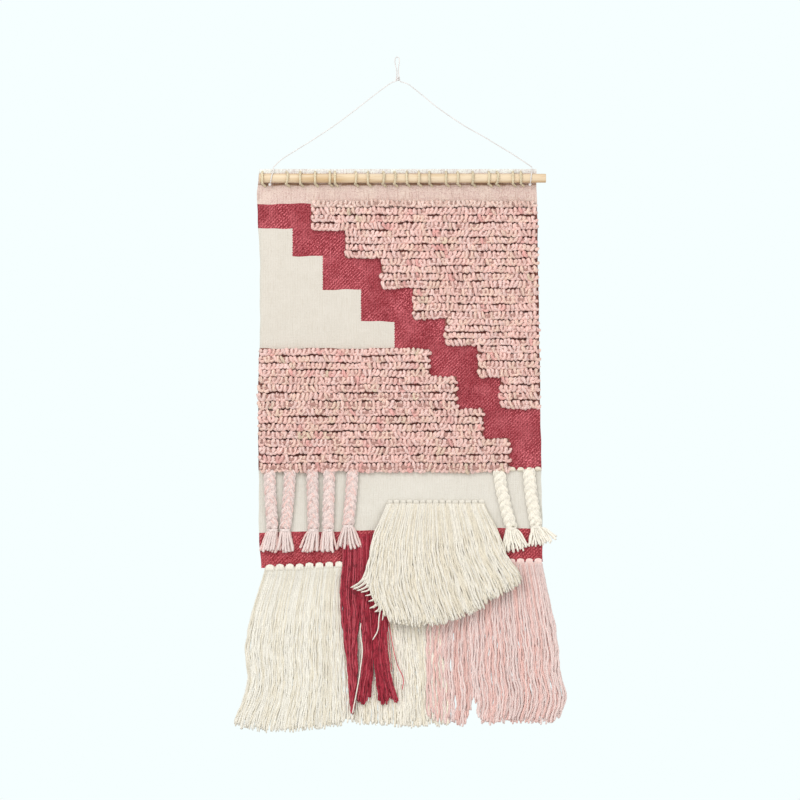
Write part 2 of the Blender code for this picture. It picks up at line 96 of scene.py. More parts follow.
TWINE_RADIUS = 0.0011
KNOT_CENTRE = (0.0014, -0.0012, -0.0387)
LOOP_ROUTE = (
    (-0.0002, -0.0012, -0.0306), (-0.0006, -0.0008, -0.0235), (-0.0024, -0.0004, -0.015),
    (-0.0038, 0.0, -0.007), (-0.0026, 0.0, -0.0012), (0.0004, 0.0, TWINE_RADIUS),
    (0.0032, 0.0, -0.0012), (0.0042, -0.0001, -0.007), (0.003, -0.0006, -0.015),
    (0.0024, -0.001, -0.0235), (0.0029, -0.0012, -0.0306),
)
LEFT_ROUTE = (
    (-0.003, -0.0014, -0.0425), (-0.0099, -0.0015, -0.0455), (-0.0162, -0.0016, -0.0495),
    (-0.039, -0.0018, -0.0663), (-0.0625, -0.002, -0.0848), (-0.087, -0.0022, -0.1036),
    (-0.112, -0.0025, -0.122), (-0.147, -0.0028, -0.1454), (-0.1822, -0.0031, -0.1674),
    (-0.207, -0.0034, -0.1833), (-0.2218, -0.0036, -0.1968),
)
RIGHT_ROUTE = (
    (0.0058, -0.0014, -0.043), (0.0125, -0.0015, -0.0452), (0.0189, -0.0015, -0.0477),
    (0.0245, -0.0016, -0.0512), (0.049, -0.0018, -0.0707), (0.0738, -0.002, -0.0909),
    (0.1195, -0.0025, -0.122), (0.1566, -0.0028, -0.143), (0.184, -0.0031, -0.1597),
    (0.2104, -0.0034, -0.1757), (0.242, -0.0036, -0.1968),
)
TIES = {"tie_left": (-0.2222, -0.2285), "tie_right": (0.2424, 0.2392)}  # x at top, at knot

# Plaits: centre line x at the top and at the end, z of the end, tassel's x range, its lowest z
BRAIDS = {
    "pink_braid_1": (-0.2293, -0.224, -0.847, (-0.246, -0.2186), -0.891),
    "pink_braid_2": (-0.1926, -0.201, -0.847, (-0.217, -0.185), -0.891),
    "pink_braid_3": (-0.1523, -0.15, -0.847, (-0.174, -0.1416), -0.891),
    "pink_braid_4": (-0.1219, -0.1244, -0.847, (-0.14, -0.11), -0.89),
    "pink_braid_5": (-0.0803, -0.0878, -0.84, (-0.107, -0.0625), -0.885),
    "cream_braid_1": (0.184, 0.2052, -0.844, (0.189, 0.235), -0.89),
    "cream_braid_2": (0.2376, 0.2502, -0.841, (0.2385, 0.287), -0.88),
}
BRAID_TOP = -0.7453
BRAID_Y = -0.0076
BRAID_PERIOD = 0.0375
BINDING_HEIGHT = 0.007

FAN_LEAN = math.radians(4.1)
LEFT_FADE = (0.935, 0.95, 0.965)  # the left fringe's yarn is a little greyer than the fan's


# -------- colours

def linear(red, green, blue):
    """A colour given as 0 to 255 on a screen, as the linear numbers that shaders use."""
    share = np.array((red, green, blue), float) / 255
    return np.where(share <= 0.04045, share / 12.92, ((share + 0.055) / 1.055) ** 2.4)


CREAM = linear(252, 247, 234)
CREAM_SHADE = linear(246, 238, 219)
PINK = linear(254, 218, 209)
PINK_LIGHT = linear(255, 226, 219)
PINK_BEIGE = linear(251, 223, 207)
PINK_PALE = linear(254, 238, 233)
PINK_DEEP = linear(245, 188, 182)
MOSS = linear(238, 222, 196)
CRIMSON = linear(190, 60, 78)
CRIMSON_LIGHT = linear(208, 88, 102)
CRIMSON_DARK = linear(164, 46, 62)
# painted shade for the gaps under the fan's knots
HOLE_SHADE = linear(158, 142, 116)
STRING_GREY = linear(230, 215, 182)
TWINE_WHITE = linear(240, 236, 234)


# -------- materials

class Shader:
    """Builds one procedural material, node by node. Patterns are laid out in metres."""

    def __init__(self, name, roughness, sheen, slot=None):
        self.slot = slot or name
        self.material = bpy.data.materials.new(name)
        self.material.use_nodes = True
        self.tree = self.material.node_tree
        self.surface = self.tree.nodes["Principled BSDF"]
        self.feed(self.surface, {"Roughness": roughness, "Sheen Weight": sheen,
                                 "Sheen Roughness": 0.6, "Specular IOR Level": 0.2})
        self.place = self.tree.nodes.new("ShaderNodeTexCoord").outputs["Object"]

    def join(self, value, socket):
        if isinstance(value, bpy.types.NodeSocket):
            self.tree.links.new(value, socket)
        elif socket.type == "RGBA":
            socket.default_value = (*value, 1.0)
        else:
            socket.default_value = value

    def feed(self, node, inputs):
        """Joins each value, given by its input's name or number, to the node."""
        for key, value in inputs.items():
            self.join(value, node.inputs[key])
        return node

    def new(self, kind, **settings):
        node = self.tree.nodes.new(f"ShaderNode{kind}")
        for name, value in settings.items():
            setattr(node, name, value)
        return node

    def tint(self):
        """The colour that each vertex carries."""
        return self.new("Attribute", attribute_name="tint").outputs["Color"]

    def math(self, operation, a, b=0.0):
        return self.feed(self.new("Math", operation=operation), {0: a, 1: b}).outputs[0]

    def add(self, a, b):
        return self.math("ADD", a, b)

    def times(self, a, b):
        return self.math("MULTIPLY", a, b)

    def noise(self, per_metre, detail=2.0, stretch=(1.0, 1.0, 1.0)):
        mapping = self.feed(self.new("Mapping"), {"Vector": self.place, "Scale": stretch})
        inputs = {"Vector": mapping.outputs[0], "Scale": per_metre, "Detail": detail}
        return self.feed(self.new("TexNoise"), inputs).outputs["Fac"]

    def coordinates(self):
        return self.feed(self.new("SeparateXYZ"), {0: self.place}).outputs

    def ramp(self, value, low, high, bottom=0.0, top=1.0):
        node = self.new("MapRange", interpolation_type="SMOOTHSTEP")
        limits = {"From Min": low, "From Max": high, "To Min": bottom, "To Max": top}
        return self.feed(node, {"Value": value, **limits}).outputs[0]

    def mix(self, share, a, b, blend="MIX"):
        node = self.new("Mix", data_type="RGBA", blend_type=blend)
        return self.feed(node, {0: share, 6: a, 7: b}).outputs[2]

    def layers(self, colour, *rows):
        """Paints laid over the colour in turn: value, low, high, most of it there, paint."""
        for value, low, high, most, paint in rows:
            colour = self.mix(self.ramp(value, low, high, 0.0, most), colour, paint)
        return colour

    def finish(self, colour, height, distance, strength=1.0, roughness=None):
        """The look of a piece: its material and the design's slot that it stands for."""
        inputs = {"Strength": strength, "Distance": distance, "Height": height}
        bump = self.feed(self.new("Bump"), inputs)
        self.feed(self.surface, {"Normal": bump.outputs[0], "Base Color": colour})
        if roughness is not None:
            self.join(roughness, self.surface.inputs["Roughness"])
        return self.material, self.slot


def yarn_material(name, fuzz=0.12, sheen=0.3, dash=0.88, slot=None):
    """Spun wool or cotton: the strand's own tint, mottled, with painted shade in short dark dashes,
    scattered by noise, for where its plies part, and fine fibres over it."""
    shader = Shader(name, 0.92, sheen, slot)
    fibres = shader.noise(1400, 3.0, (1.0, 1.0, 0.35))
    dashes = shader.noise(330, 1.0, (1.0, 1.0, 0.32))
    shade = shader.times(
        shader.ramp(fibres, 0.3, 0.7, 1.0 - fuzz, 1.0 + fuzz / 2),
        shader.ramp(dashes, 0.33, 0.46, dash, 1.0),
    )
    grey = shader.feed(shader.new("CombineColor"), {0: shade, 1: shade, 2: shade})
    colour = shader.mix(1.0, shader.tint(), grey.outputs[0], "MULTIPLY")
    return shader.finish(colour, fibres, 0.0006, 0.8, shader.ramp(fibres, 0.3, 0.7, 0.97, 0.86))


def weave_material(name, colours, warp=0.0044, twill=0.0, lines=0.5, grain=900, slot=None):
    """Weft-faced cloth in a base, a dark and a light colour: warp ridges down it, fine weft
    across it, slubs, and twill flecks."""
    shader = Shader(name, 0.93, 0.05, slot)
    base, dark, light = (linear(*colour) for colour in colours)
    x, _, z = shader.coordinates()
    drift = shader.times(shader.noise(45, 2.0), 0.003)
    x = shader.add(x, drift)
    ridge = shader.math("SINE", shader.times(x, math.tau / warp))
    pick = shader.math("SINE", shader.times(z, math.tau / WEFT_PITCH))
    cross = shader.times(ridge, pick)
    slub = shader.noise(60, 3.0, (1.0, 1.0, 9.0))
    streak = shader.noise(60, 2.0, (8.0, 1.0, 0.7))
    speck = shader.noise(grain, 2.0)
    height = shader.times(shader.add(ridge, cross), lines)
    height = shader.add(height, shader.times(slub, 1.6))
    height = shader.add(height, speck)

    patch = shader.noise(28, 2.0)
    colour = shader.mix(shader.ramp(patch, 0.46, 0.64, 0.0, 0.3), base, light)
    colour = shader.mix(shader.ramp(ridge, -1.0, 0.2, lines, 0.0), colour, dark)
    colour = shader.layers(
        colour, (speck, 0.38, 0.72, 0.55, light), (speck, 0.42, 0.28, 0.6, dark),
        (slub, 0.5, 0.72, 0.35, light), (streak, 0.48, 0.3, 0.4, dark),
    )
    if twill:
        slant = shader.math("SUBTRACT", x, z)
        diagonal = shader.math("SINE", shader.times(slant, math.tau / twill))
        broken = shader.ramp(shader.noise(520, 1.0), 0.32, 0.68, -1.7, 1.7)
        fleck = shader.add(diagonal, broken)
        where = shader.ramp(shader.noise(16, 1.0), 0.38, 0.58, 0.3, 1.0)
        share = shader.times(shader.ramp(fleck, 0.5, 2.2), where)
        colour = shader.mix(share, colour, light)
        colour = shader.mix(shader.ramp(fleck, -0.4, -2.0, 0.0, 0.5), colour, dark)
        height = shader.add(height, shader.times(fleck, 0.3))
    colour = shader.mix(1.0, colour, shader.tint(), "MULTIPLY")
    return shader.finish(colour, height, 0.0007, 0.7, shader.ramp(speck, 0.3, 0.7, 0.98, 0.86))


def wood_material(name):
    """A turned softwood dowel: long pale grain with a few darker streaks and pores."""
    shader = Shader(name, 0.5, 0.0)
    shader.surface.inputs["Specular IOR Level"].default_value = 0.35
    grain = shader.noise(90, 4.0, (0.06, 1.0, 1.0))
    wide = shader.noise(22, 2.0, (0.1, 1.0, 1.0))
    pores = shader.noise(1100, 2.0, (0.04, 1.0, 1.0))
    stain = shader.noise(9, 2.0)
    colour = shader.layers(
        linear(226, 207, 178), (grain, 0.35, 0.68, 1.0, linear(203, 173, 130)),
        (wide, 0.5, 0.75, 0.55, linear(199, 158, 108)),
        (pores, 0.6, 0.75, 0.45, linear(162, 118, 74)),
        (stain, 0.45, 0.65, 0.25, linear(244, 226, 196)),
    )
    return shader.finish(colour, pores, 0.0003, 0.5, shader.ramp(grain, 0.3, 0.7, 0.42, 0.62))


CREAM_YARN = yarn_material("cream_yarn")
SOFT_CREAM_YARN = yarn_material("soft_cream_yarn", 0.06, 0.3, 0.95, "cream_yarn")
PINK_YARN = yarn_material("pink_yarn")
PINK_MARL = yarn_material("pink_marl", 0.34, 0.3, 0.8, "pink_yarn")
CRIMSON_YARN = yarn_material("crimson_yarn", 0.3, 0.05, 0.55)
STRING = yarn_material("string")
TWINE = yarn_material("twine")
CREAM_WEAVE = weave_material(
    "cream_weave", ((219, 215, 205), (207, 201, 187), (229, 226, 217)), lines=0.25
)
PINK_WEAVE = weave_material(
    "pink_weave", ((211, 185, 178), (166, 132, 118), (236, 221, 206)), 0.0052, lines=0.1, grain=520
)
CRIMSON_WEAVE = weave_material(
    "crimson_weave", ((138, 28, 41), (100, 16, 26), (230, 124, 133)), twill=0.0066
)
# the pile's crimson ground, darkened to the brown it looks deep between the rows of loops: its own
# colour with painted shade
PILE_GROUND_IN_SHADE = weave_material(
    "crimson_ground_in_shade", ((138, 84, 74), (104, 58, 52), (166, 110, 98)), slot="crimson_weave"
)
PALE_WOOD, _ = wood_material("pale_wood")


# -------- meshes

def put(name, data, place=(0.0, 0.0, 0.0)):
    """A new object in the scene."""
    holder = bpy.data.objects.new(name, data)
    holder.location = place
    bpy.context.scene.collection.objects.link(holder)
    return holder


class Batch:
    """Gathers tubes and plates into one mesh, with a tint for each vertex."""

    def __init__(self):
        self.points, self.tints, self.corners, self.sizes = [], [], [], []
        self.count = 0

    def add(self, points, faces, tints):
        """faces is a list of arrays, each holding faces with the same number of corners."""
        self.points.append(points)
        self.tints.append(np.broadcast_to(tints, points.shape))
        for group in faces:
            self.corners.append((group + self.count).ravel())
            self.sizes.append(np.full(len(group), group.shape[1]))
        self.count += len(points)

    def build(self, name, look, body, replaced=()):
        """The object, riding on its body."""
        material, slot = look
        parts = (self.points, self.tints, self.corners, self.sizes)
        points, tints, corners, sizes = (np.concatenate(part) for part in parts)
        mesh = bpy.data.meshes.new(name)
        mesh.vertices.add(len(points))
        mesh.vertices.foreach_set("co", points.ravel())
        mesh.loops.add(len(corners))
        mesh.loops.foreach_set("vertex_index", corners.astype(np.int32))
        mesh.polygons.add(len(sizes))
        starts = np.concatenate(([0], np.cumsum(sizes)[:-1]))
        mesh.polygons.foreach_set("loop_start", starts.astype(np.int32))
        mesh.polygons.foreach_set("loop_total", sizes.astype(np.int32))
        mesh.update(calc_edges=True)
        colours = mesh.color_attributes.new("tint", "FLOAT_COLOR", "POINT")
        rgba = np.concatenate((tints, np.ones((len(tints), 1))), axis=1)
        colours.data.foreach_set("color", rgba.ravel())
        mesh.shade_smooth()
        mesh.materials.append(material)
        piece = put(name, mesh)
        if body:
            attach(piece, body)
        if replaced:
            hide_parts(*replaced)
        return piece


def smooth_route(route, spacing):
    """Points about a spacing apart on a Catmull-Rom curve through the route's own points."""
    knots = [Vector(p) for p in route]
    knots = [2 * knots[0] - knots[1], *knots, 2 * knots[-1] - knots[-2]]
    points = []
    for a, b, c, d in zip(knots, knots[1:], knots[2:], knots[3:]):
        steps = max(1, round((c - b).length / spacing))
        for k in range(steps):
            t = k / steps
            cubic = (3 * b - a - 3 * c + d) * t**3 + (2 * a - 5 * b + 4 * c - d) * t**2
            points.append((cubic + (c - a) * t + 2 * b) / 2)
    return np.array([*points, knots[-2]])


def points_at(x, y, z):
    """A path from the x, y and z of its points."""
    return np.stack((x, y, z), axis=1)


def distances(path):
    """How far along the path each of its points is."""
    steps = np.linalg.norm(np.diff(path, axis=0), axis=1)
    return np.concatenate(([0.0], np.cumsum(steps)))


def carried_normals(path):
    """The path's tangents, and two normals carried along it without twisting."""
    tangents = np.gradient(path, axis=0)
    tangents /= np.linalg.norm(tangents, axis=1)[:, None]
    normals = np.empty_like(path)
    guess = np.eye(3)[np.argmin(np.abs(tangents[0]))]
    for i, tangent in enumerate(tangents):
        guess = guess - tangent * guess.dot(tangent)
        guess = guess / math.sqrt(guess.dot(guess))
        normals[i] = guess
    return tangents, normals, np.cross(tangents, normals)


def yarn(batch, path, radius, tint, lay=0.012, sides=6, groove=0.86, start=0.0, shade=0.93):
    """A plied yarn along a path. Every second corner of its section lies in a groove between
    plies, in shade, and the section turns by one ply in each lay. radius and tint may vary
    along it; shade is one number or one for each colour channel."""
    path = np.asarray(path, float)
    count = len(path)
    along = distances(path)
    _, across, up = carried_normals(path)
    plies = sides / 2
    turn = start + along * math.tau / (plies * lay)
    angles = turn[:, None] + np.arange(sides) * math.tau / sides
    in_groove = np.arange(sides) % 2 == 1
    reach = np.broadcast_to(radius, count)[:, None] * np.where(in_groove, groove, 1.0)
    reach[0] *= 0.7
    reach[-1] *= 0.7
    ring = across[:, None] * (reach * np.cos(angles))[..., None]
    ring = ring + up[:, None] * (reach * np.sin(angles))[..., None]
    points = (path[:, None] + ring).reshape(-1, 3)
    # painted shade in the grooves between plies, and a slightly lighter painted highlight on the
    # ridges
    tints = np.broadcast_to(tint, (count, 3))[:, None] * np.where(in_groove[:, None], shade, 1.03)

    here = np.arange(count - 1)[:, None] * sides + np.arange(sides)
    after = np.arange(count - 1)[:, None] * sides + (np.arange(sides) + 1) % sides
    quads = np.stack((here, after, after + sides, here + sides), axis=-1).reshape(-1, 4)
    caps = np.stack((np.arange(sides)[::-1], (count - 1) * sides + np.arange(sides)))
    batch.add(points, [quads, caps], tints.reshape(-1, 3))


def wander(random, count, share):
    """Smooth random numbers about 1, one for each ring of a yarn."""
    knots = random.uniform(1 - share, 1 + share, max(3, count // 6))
    return np.interp(np.linspace(0, 1, count), np.linspace(0, 1, len(knots)), knots)


# -------- camera, light and floor

VIEW_CENTRE = (0.0054, 0.0, -0.6165)
VIEW_WIDTH = 1.44
CAMERA_DISTANCE = 8.0
SENSOR = 36.0
BACKDROP = linear(246, 255, 255)
FLOOR_RADIUS = 0.45
FLOOR_Z = -1.45


def make_camera():
    camera = bpy.data.cameras.new("camera")
    camera.sensor_width = SENSOR
    camera.lens = SENSOR * CAMERA_DISTANCE / VIEW_WIDTH
    camera.clip_end = 40.0
    holder = put("camera", camera, (VIEW_CENTRE[0], -CAMERA_DISTANCE, VIEW_CENTRE[2]))
    holder.rotation_euler = (math.pi / 2, 0.0, 0.0)
    bpy.context.scene.camera = holder


def area_light(name, place, size, power):
    light = bpy.data.lights.new(name, "AREA")
    light.shape = "DISK"
    light.size = size
    light.energy = power
    aim = Vector(VIEW_CENTRE) - Vector(place)
    put(name, light, place).rotation_euler = aim.to_track_quat("-Z", "Y").to_euler()


def make_studio():
    """A pale backdrop all round that also lights the piece, a soft key lamp and a floor."""
    world = bpy.data.worlds.new("studio")
    bpy.context.scene.world = world
    world.use_nodes = True
    tree = world.node_tree
    glow = tree.nodes["Background"]
    glow.inputs["Color"].default_value = (1.0, 0.985, 0.965, 1.0)
    glow.inputs["Strength"].default_value = 0.85
    seen = tree.nodes.new("ShaderNodeBackground")
    seen.inputs["Color"].default_value = (*BACKDROP, 1.0)
    path = tree.nodes.new("ShaderNodeLightPath")
    either = tree.nodes.new("ShaderNodeMixShader")
    outputs = path.outputs["Is Camera Ray"], glow.outputs[0], seen.outputs[0]
    for output, socket in zip(outputs, either.inputs):
        tree.links.new(output, socket)
    tree.links.new(either.outputs[0], tree.nodes["World Output"].inputs[0])
    bpy.context.scene.view_settings.view_transform = "Standard"

    area_light("key", (-1.7, -2.6, 1.3), 1.9, 52.0)
    area_light("fill", (2.2, -2.8, -0.4), 2.2, 18.0)

    floor = bpy.data.meshes.new("floor")
    turns = np.linspace(0, math.tau, 64, endpoint=False)
    rim = [(FLOOR_RADIUS * math.cos(a), FLOOR_RADIUS * math.sin(a), FLOOR_Z) for a in turns]
    floor.from_pydata(rim, [], [list(range(64))])
    shader = Shader("floor", 0.8, 0.0)
    shader.surface.inputs["Base Color"].default_value = (0.86, 0.86, 0.85, 1.0)
    floor.materials.append(shader.material)
    piece = put("floor", floor)


make_camera()
make_studio()


# -------- the hanging twine

def twine_yarn(batch, path, radius, tint=TWINE_WHITE):
    yarn(batch, path, radius, tint, lay=0.005, shade=0.9)


def make_hanger():
    """One twine from the left tie, up to the knot, round the nail, and down to the right tie."""
    through_left = (-0.0012, -0.0014, -0.0365)
    through_right = (0.0042, -0.0012, -0.0368)
    route = [*LEFT_ROUTE[::-1], through_left, *LOOP_ROUTE, through_right, *RIGHT_ROUTE]
    path = smooth_route(route, 0.0016)
    random = np.random.default_rng(11)
    batch = Batch()
    tint = TWINE_WHITE * wander(random, len(path), 0.08)[:, None]
    twine_yarn(batch, path, TWINE_RADIUS * 0.95, tint)
    twine = batch.build(
        "hanging_twine", TWINE, "hanger", ("hang_loop", "hang_cord_left", "hang_cord_right")
    )

    turns = np.linspace(0, math.tau * 2.6, 60)
    swing = points_at(
        (0.0021 + 0.0006 * np.cos(turns * 0.5)) * np.cos(turns),
        -0.0021 * np.sin(turns),
        np.linspace(0.0026, -0.0026, 60) + 0.0009 * np.sin(turns * 1.5),
    )
    batch = Batch()
    twine_yarn(batch, np.array(KNOT_CENTRE) + swing, TWINE_RADIUS * 1.15, TWINE_WHITE * 0.95)
    knot = batch.build("hanging_knot", TWINE, "hanger", ("hang_knot",))


def round_rod(angle, reach):
    """The (y, z) of a point round the dowel: 0 degrees faces the cloth and 180 the front."""
    turn = math.radians(angle)
    return ROD_Y + reach * math.cos(turn), ROD_Z + reach * math.sin(turn)


def make_ties():
    """Each end of the twine goes over the dowel's front and ends in a knot under it."""
    reach = ROD_RADIUS + GAP + TWINE_RADIUS
    for name, (top_x, knot_x) in TIES.items():
        route = [(top_x, -0.0036, -0.197), (top_x, -0.005, -0.203)]
        for angle in range(75, 271, 15):
            x = top_x + (knot_x - top_x) * (angle - 75) / 195
            route.append((x, *round_rod(angle, reach)))
        route += [(knot_x, -0.0074, -0.2292), (knot_x, -0.005, -0.228)]
        batch = Batch()
        path = smooth_route(route, 0.0016)
        twine_yarn(batch, path, TWINE_RADIUS)
        turns = np.linspace(0, math.tau * 2.2, 48)
        coil = points_at(
            np.linspace(0.002, -0.002, 48), 0.0016 * np.cos(turns), 0.0016 * np.sin(turns)
        )
        centre = np.array((knot_x, -0.0104, -0.2292))
        twine_yarn(batch, centre + coil, TWINE_RADIUS)
        batch.build(f"{name}_twine", TWINE, "panel", (name,))


def make_lashing():
    """One string: down over the dowel, through the cloth under it, up the back and through again."""
    reach = ROD_RADIUS + GAP + STRING_RADIUS
    edge = CLOTH_THICKNESS / 2 + STRING_RADIUS / 2
    random = np.random.default_rng(12)
    route = []
    for turn, x in enumerate(LASHING_TURNS):
        lean = random.uniform(-0.0008, 0.0026)
        route += [(x, y, CLOTH_TOP - STRING_DROP) for y in (edge, 0.0, -edge)]
        for angle in (62, 90, 120, 150, 180, 210, 240, 270):
            route.append((x + lean * math.sin(math.radians(angle - 62)), *round_rod(angle, reach)))
        enter = x + HOLE_STEP
        route += [(enter - 0.0006, -0.0048, -0.2308), (enter, 0.0, HOLE_Z)]
        if turn < len(LASHING_TURNS) - 1:
            route += [(enter + 0.0003, 0.0036, -0.2308), (enter + 0.002, 0.0038, -0.227),
                      (LASHING_TURNS[turn + 1] - 0.001, 0.0036, -0.204)]
    path = smooth_route(route, 0.0022)
    tint = STRING_GREY * wander(random, len(path), 0.1)[:, None]
    flattened = np.interp(path[:, 2], (-0.208, -0.201), (1.2, 0.62))
    batch = Batch()
    yarn(batch, path, STRING_RADIUS * flattened, tint, lay=0.007, shade=0.92)
    batch.build("lashing_string", STRING, "panel", ("lashing",))


make_hanger()
make_ties()
make_lashing()
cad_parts["rod"].data.materials.clear()
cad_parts["rod"].data.materials.append(PALE_WOOD)


# -------- the cloth

def between(pair, share):
    return pair[0] + (pair[1] - pair[0]) * share


def cloth_left(z):
    return np.interp(z, *zip(*CLOTH_LEFT))


def cloth_right(z):
    return between(CLOTH_RIGHT, (z - CLOTH_TOP) / (CLOTH_BOTTOM[1] - CLOTH_TOP))


def ripple(x, z):
    """How far the hanging cloth's middle plane stands from flat, in y."""
    slow = 0.0007 * np.sin(9 * x + 4 * z) + 0.0005 * np.sin(17 * z - 6 * x)
    pucker = 0.0003 * np.sin(61 * x + 9 * z) * np.sin(47 * z)
    fade = np.clip((CLOTH_TOP - z - 0.02) / 0.08, 0, 1) * np.clip((z + 0.9) / 0.06, 0, 1)
    return (slow + pucker) * fade


def grid_lines(fixed, step):
    """Lines through the fixed values, and others between them no more than a step apart."""
    fixed = sorted(set(fixed))
    lines = []
    for a, b in zip(fixed, fixed[1:]):
        lines.extend(np.linspace(a, b, max(1, math.ceil((b - a) / step)), endpoint=False))
    return np.array([*lines, fixed[-1]])


def riser_at(steps, z):
    """x of a stair's riser at a height, or None below the stair."""
    return next((x for x, end in steps if z > end), None)


def area_at(x, z):
    """Which woven area a point of the cloth is in, with the slanted lines taken as level."""
    upper, lower, cream = (
        riser_at(steps, z) for steps in (UPPER_PILE_STEPS, LOWER_PILE_STEPS, CREAM_STEPS)
    )
    if z > HEADER_BOTTOM or (z > PILE_TOP and x > UPPER_PILE_STEPS[0][0]):
        return "header_band"
    if z < CREAM_PANEL_BOTTOM[0]:
        return "crimson_band"
    if z < CREAM_PANEL_TOP:
        return "cream_panel"
    if upper is not None and z < PILE_TOP and x > upper:
        return "upper_pile_ground"
    if CREAM_STAIR_TOP > z > LOWER_PILE_TOP and x < cream:
        return "cream_stair"
    if z < LOWER_PILE_TOP and x < lower:
        return "lower_pile_ground"
    return "crimson_stair"


EDGE_COLUMNS = (-0.246, -0.2415, 0.2505, 0.2545)  # the outer two move to the cloth's edges
CELL_WIDTH = 0.005
CELL_HEIGHT = 0.0023
SELVEDGE_TINT = (0.94, 0.97, 0.97)
BARE_EDGE_Z = -0.2085  # the cloth is nearly white above this, over the dowel
BARE_EDGE_TINT = (1.16, 1.5, 1.64)
DOWEL_SHADOW_Z = -0.2283  # a brown line just under the dowel: painted shadow where the dowel shades the cloth
DOWEL_SHADOW_HALF = 0.0018
DOWEL_SHADOW_TINT = (0.44, 0.34, 0.24)
BACK_OF_PILE = (2.2, 4.2, 4.6)  # the pile's pink yarn shows through at the back of its ground, which is lighter than its front with its painted shade
# areas whose shade differs a little from their weave's own
AREA_TINTS = {"crimson_band": (1.12, 1.02, 1.00), "cream_stair": (0.95, 0.93, 0.92)}


def make_cloth():
    """The woven areas. Each is a closed sheet that meets its neighbours along their lines."""
    stairs = (*UPPER_PILE_STEPS, *CREAM_STEPS, *LOWER_PILE_STEPS)
    risers = [x for x, _ in stairs]
    xs = grid_lines([*EDGE_COLUMNS, *risers], CELL_WIDTH)
    levels = [CLOTH_TOP, HEADER_BOTTOM, PILE_TOP, CREAM_STAIR_TOP, LOWER_PILE_TOP]
    levels += [CREAM_PANEL_TOP, CREAM_PANEL_BOTTOM[0], CLOTH_BOTTOM[0], *(z for _, z in stairs)]
    zs = grid_lines(levels, CELL_HEIGHT)
    names = np.array(
        [[area_at(x, z) for x in (xs[1:] + xs[:-1]) / 2] for z in (zs[1:] + zs[:-1]) / 2]
    )

    x, z = np.meshgrid(xs, zs)
    rise = [CLOTH_BOTTOM[1] - CLOTH_BOTTOM[0], CREAM_PANEL_BOTTOM[1] - CREAM_PANEL_BOTTOM[0], 0.0]
    slant = np.interp(z, [CLOTH_BOTTOM[0], CREAM_PANEL_BOTTOM[0], CREAM_PANEL_TOP], rise)
    z = z + slant * (x - xs[0]) / (xs[-1] - xs[0])
    random = np.random.default_rng(15)
    teeth = np.isin(xs, risers) * (-1.0) ** np.arange(len(zs))[:, None]
    x = x + teeth * 0.0007 * random.uniform(0.5, 1.5, teeth.shape)
    inner = np.clip((CLOTH_TOP - z) / 0.03, 0, 1) * np.clip((z - CLOTH_BOTTOM[0]) / 0.03, 0, 1)
    z = z + inner * (0.0009 * np.sin(52 * x + 31 * z) + 0.0004 * np.sin(163 * x - 40 * z))
    edge_wave = 0.0003 * np.sin(z[:, 0] * 130) + 0.0004 * np.sin(z[:, 0] * 47)
    x[:, 0] = cloth_left(z[:, 0]) + edge_wave
    x[:, -1] = cloth_right(z[:, -1]) - edge_wave
    tints = np.ones((*x.shape, 3))
    tints[z > BARE_EDGE_Z] = BARE_EDGE_TINT
    # painted shadow: the band just under the dowel is darkened to brown
    tints[np.abs(z - DOWEL_SHADOW_Z) < DOWEL_SHADOW_HALF] = DOWEL_SHADOW_TINT
    tints[:, [0, -1]] = tints[:, [0, -1]] * SELVEDGE_TINT
    middle = ripple(x, z)
    front = np.stack((x, middle - CLOTH_THICKNESS / 2, z), axis=-1)
    back = np.stack((x, middle + CLOTH_THICKNESS / 2, z), axis=-1)

    looks = {
        "header_band": PINK_WEAVE,
        "crimson_stair": CRIMSON_WEAVE,
        "cream_stair": CREAM_WEAVE,
        "upper_pile_ground": PILE_GROUND_IN_SHADE,
        "lower_pile_ground": PILE_GROUND_IN_SHADE,
        "cream_panel": CREAM_WEAVE,
        "crimson_band": CRIMSON_WEAVE,
    }
    width = len(xs)
    total = front.shape[0] * front.shape[1]
    both = np.concatenate((front.reshape(-1, 3), back.reshape(-1, 3)))
    for name, look in looks.items():
        behind = tints * (BACK_OF_PILE if look is PILE_GROUND_IN_SHADE else (1.0, 1.0, 1.0))
        both_tints = np.concatenate((tints.reshape(-1, 3), behind.reshape(-1, 3)))
        both_tints = both_tints * AREA_TINTS.get(name, 1.0)
        inside = np.zeros((names.shape[0] + 2, names.shape[1] + 2), bool)
        inside[1:-1, 1:-1] = names == name
        rows, columns = np.nonzero(inside[1:-1, 1:-1])
        a = rows * width + columns
        faces = [
            np.stack((a, a + 1, a + 1 + width, a + width), axis=1),
            np.stack((a, a + width, a + 1 + width, a + 1), axis=1) + total,
        ]
        for step, ends in (
            ((0, -1), (a + width, a)),
            ((0, 1), (a + 1, a + 1 + width)),
            ((-1, 0), (a, a + 1)),
            ((1, 0), (a + 1 + width, a + width)),
        ):
            edge = ~inside[rows + 1 + step[0], columns + 1 + step[1]]
            start, end = ends[0][edge], ends[1][edge]
            faces.append(np.stack((end, start, start + total, end + total), axis=1))
        faces = np.concatenate(faces)
        used, corners = np.unique(faces, return_inverse=True)
        batch = Batch()
        batch.add(both[used], [corners.reshape(faces.shape)], both_tints[used])
        piece = batch.build(f"{name}_cloth", look, "panel", (name,))
        piece.data.set_sharp_from_angle(angle=math.radians(60))


make_cloth()


# -------- the looped pile

LOOP_PITCH = 0.008
PILE_Y = -0.0068
PILE_TINTS = (PINK, PINK_LIGHT, PINK_BEIGE, PINK_DEEP, MOSS)
PILE_SHARES = (0.44, 0.28, 0.22, 0.045, 0.015)
HEADER_LOOP_TINTS = (linear(248, 224, 212), linear(252, 230, 220), linear(240, 210, 198))
HEADER_LOOP_HEIGHT = 0.0128
CORE_SHADE = (0.48, 0.37, 0.35)  # painted shade: the row's core lies deep between the loops and is tinted dark as in their shadow
# painted shade in the grooves of the loops' yarn
LOOP_SHADE = (0.84, 0.72, 0.7)


